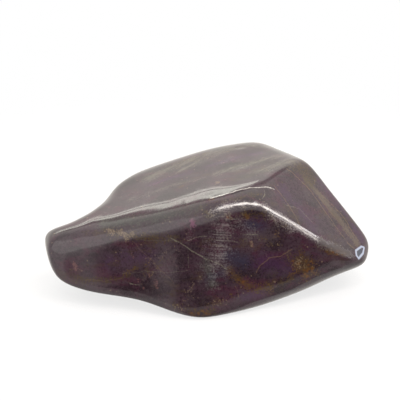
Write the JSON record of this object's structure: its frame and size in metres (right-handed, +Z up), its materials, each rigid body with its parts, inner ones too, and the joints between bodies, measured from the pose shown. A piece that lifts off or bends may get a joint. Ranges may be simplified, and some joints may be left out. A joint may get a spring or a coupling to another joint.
{
  "type": "polished purpurite freeform",
  "caption": "Polished freeform of dark purple purpurite with brown and gold matrix flecks, ground to a few rounded flats and lying on a flat base.",
  "frame": {"origin": "centre of the bounding box in plan, at the level of the flat base", "axes": "+X toward the pointed end, along the greatest length; -Y toward the blunt front ridge; +Z up, the least extent"},
  "size_m": [0.0904, 0.0562, 0.0337],
  "materials": {
    "stone": "polished"
  },
  "bodies": {
    "root": {"stone": "stone"}
  },
  "joints": []
}
